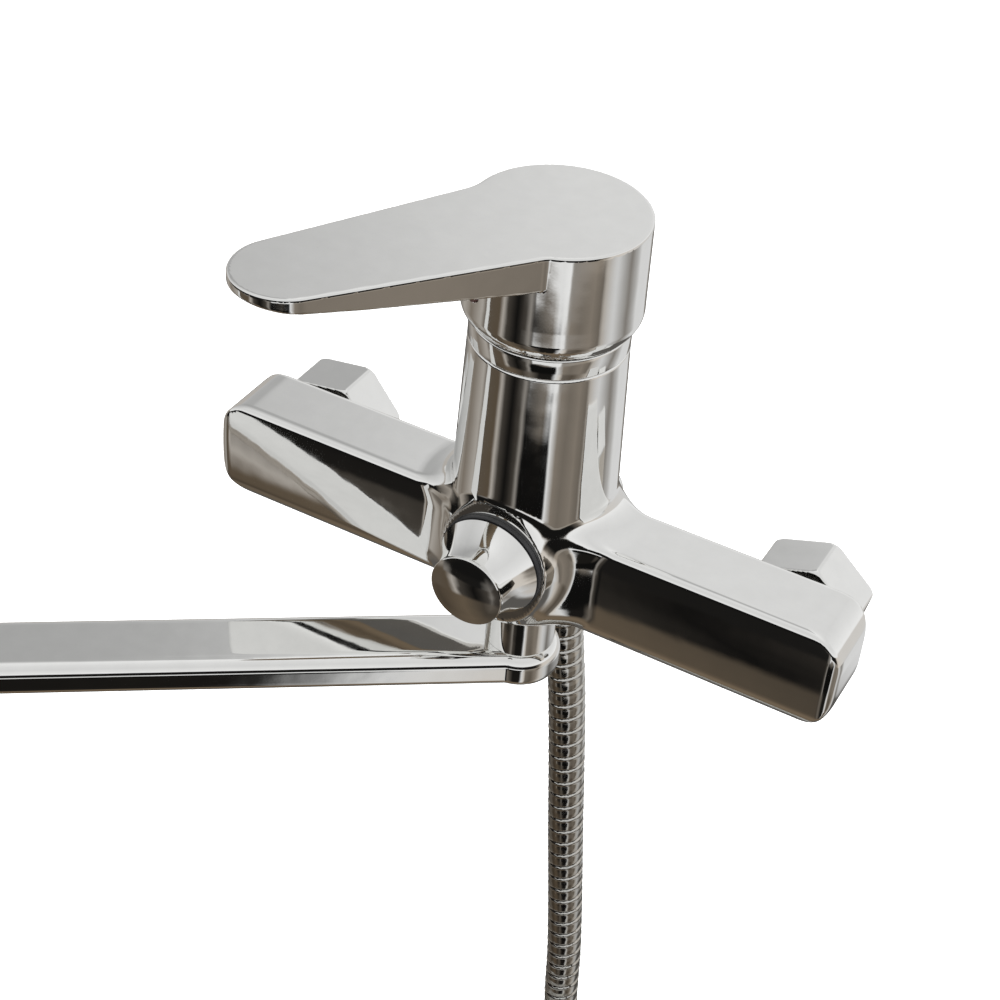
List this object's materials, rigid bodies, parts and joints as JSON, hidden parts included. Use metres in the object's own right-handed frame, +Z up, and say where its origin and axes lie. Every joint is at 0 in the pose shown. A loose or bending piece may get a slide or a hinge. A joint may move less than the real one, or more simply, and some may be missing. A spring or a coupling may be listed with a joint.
{
  "type": "wall mounted bath faucet",
  "caption": "Single lever wall mounted bath mixer with ceramic cartridge, long flat swivel spout, rotary diverter knob, union nuts and a metal shower hose.",
  "frame": {"origin": "midway between the two inlet axes, on the back faces of the union nuts, where the faucet meets the wall connections", "axes": "+X along the wall towards the cold inlet, +Y into the wall, +Z up"},
  "size_m": [0.3959, 0.2573, 0.4957],
  "materials": {
    "chrome": "polished chrome plating on brass",
    "brass": "bare turned brass",
    "white_plastic": "moulded white plastic",
    "red_plastic": "moulded red plastic",
    "ceramic": "lapped alumina ceramic",
    "rubber": "black nitrile rubber",
    "black_plastic": "moulded black plastic",
    "stainless": "turned stainless steel",
    "index_red": "gloss red plastic",
    "hose_steel": "double interlocked stainless strip"
  },
  "bodies": {
    "mixer_body": {"body_casting": "chrome", "cover_ring": "chrome", "cartridge_nut": "brass", "cartridge_housing": "white_plastic", "cartridge_base": "white_plastic", "cartridge_seals": "rubber", "fixed_disc": "ceramic", "inlet_bush_hot": "brass", "inlet_bush_cold": "brass", "inlet_gasket_hot": "rubber", "inlet_gasket_cold": "rubber", "diverter_housing": "white_plastic", "diverter_nut": "brass", "diverter_seal": "rubber", "diverter_disc_fixed": "ceramic", "diverter_ring": "black_plastic", "spout_bush": "chrome", "spout_orings": "rubber", "spout_screw": "chrome", "shower_outlet": "chrome", "check_valve": "black_plastic", "hose_gasket_top": "rubber", "hose_nut_top": "chrome", "hose_ferrule_top": "chrome", "shower_hose": "hose_steel", "shower_hose_coil": "hose_steel", "shower_hose_tail": "hose_steel", "hose_tie": "black_plastic", "hose_ferrule_end": "chrome", "hose_gasket_end": "rubber"},
    "temperature_rotor": {"stem_rotor": "red_plastic", "stem_pin": "stainless"},
    "lever": {"lever_stem": "brass", "lever_handle": "chrome", "handle_screw": "stainless", "index_plug": "index_red"},
    "sliding_disc": {"moving_disc": "ceramic", "disc_carrier": "white_plastic"},
    "spout": {"spout": "chrome", "aerator_housing": "chrome", "aerator_insert": "white_plastic", "aerator_gasket": "rubber"},
    "diverter": {"diverter_disc_moving": "ceramic", "diverter_stem": "brass", "diverter_knob": "chrome", "diverter_screw": "stainless"},
    "hot_nut": {"union_nut_hot": "chrome"},
    "cold_nut": {"union_nut_cold": "chrome"},
    "hose_end_nut": {"hose_nut_end": "chrome"}
  },
  "joints": [
    {"name": "temperature", "type": "hinge", "parent": "mixer_body", "child": "temperature_rotor", "pos_m": [0, -0.027, 0.0675], "axis": [0, 0, 1], "range_deg": [-17, 83]},
    {"name": "lever_lift", "type": "hinge", "parent": "temperature_rotor", "child": "lever", "pos_m": [0, -0.027, 0.0675], "axis": [-0.8387, 0.5446, 0], "range_deg": [0, 22]},
    {"name": "disc_slide", "type": "slide", "parent": "temperature_rotor", "child": "sliding_disc", "axis": [-0.5446, -0.8387, 0], "range_m": [0, 0.004]},
    {"name": "spout_swivel", "type": "hinge", "parent": "mixer_body", "child": "spout", "pos_m": [0, -0.027, -0.034], "axis": [0, 0, 1], "range_deg": [-35, 145]},
    {"name": "diverter_turn", "type": "hinge", "parent": "mixer_body", "child": "diverter", "pos_m": [0, -0.05, 0.0078], "axis": [0, 1, 0], "range_deg": [0, 90]},
    {"name": "hot_nut_turn", "type": "hinge", "parent": "mixer_body", "child": "hot_nut", "pos_m": [-0.075, 0, 0], "axis": [0, 1, 0], "continuous": true},
    {"name": "cold_nut_turn", "type": "hinge", "parent": "mixer_body", "child": "cold_nut", "pos_m": [0.075, 0, 0], "axis": [0, 1, 0], "continuous": true},
    {"name": "hose_nut_turn", "type": "hinge", "parent": "mixer_body", "child": "hose_end_nut", "pos_m": [0.077, -0.0338, -0.36423], "axis": [0, 0, 1], "continuous": true}
  ],
  "couplings": [
    {"joint": "disc_slide", "follows": "lever_lift", "m_per_rad": 0.0101}
  ]
}
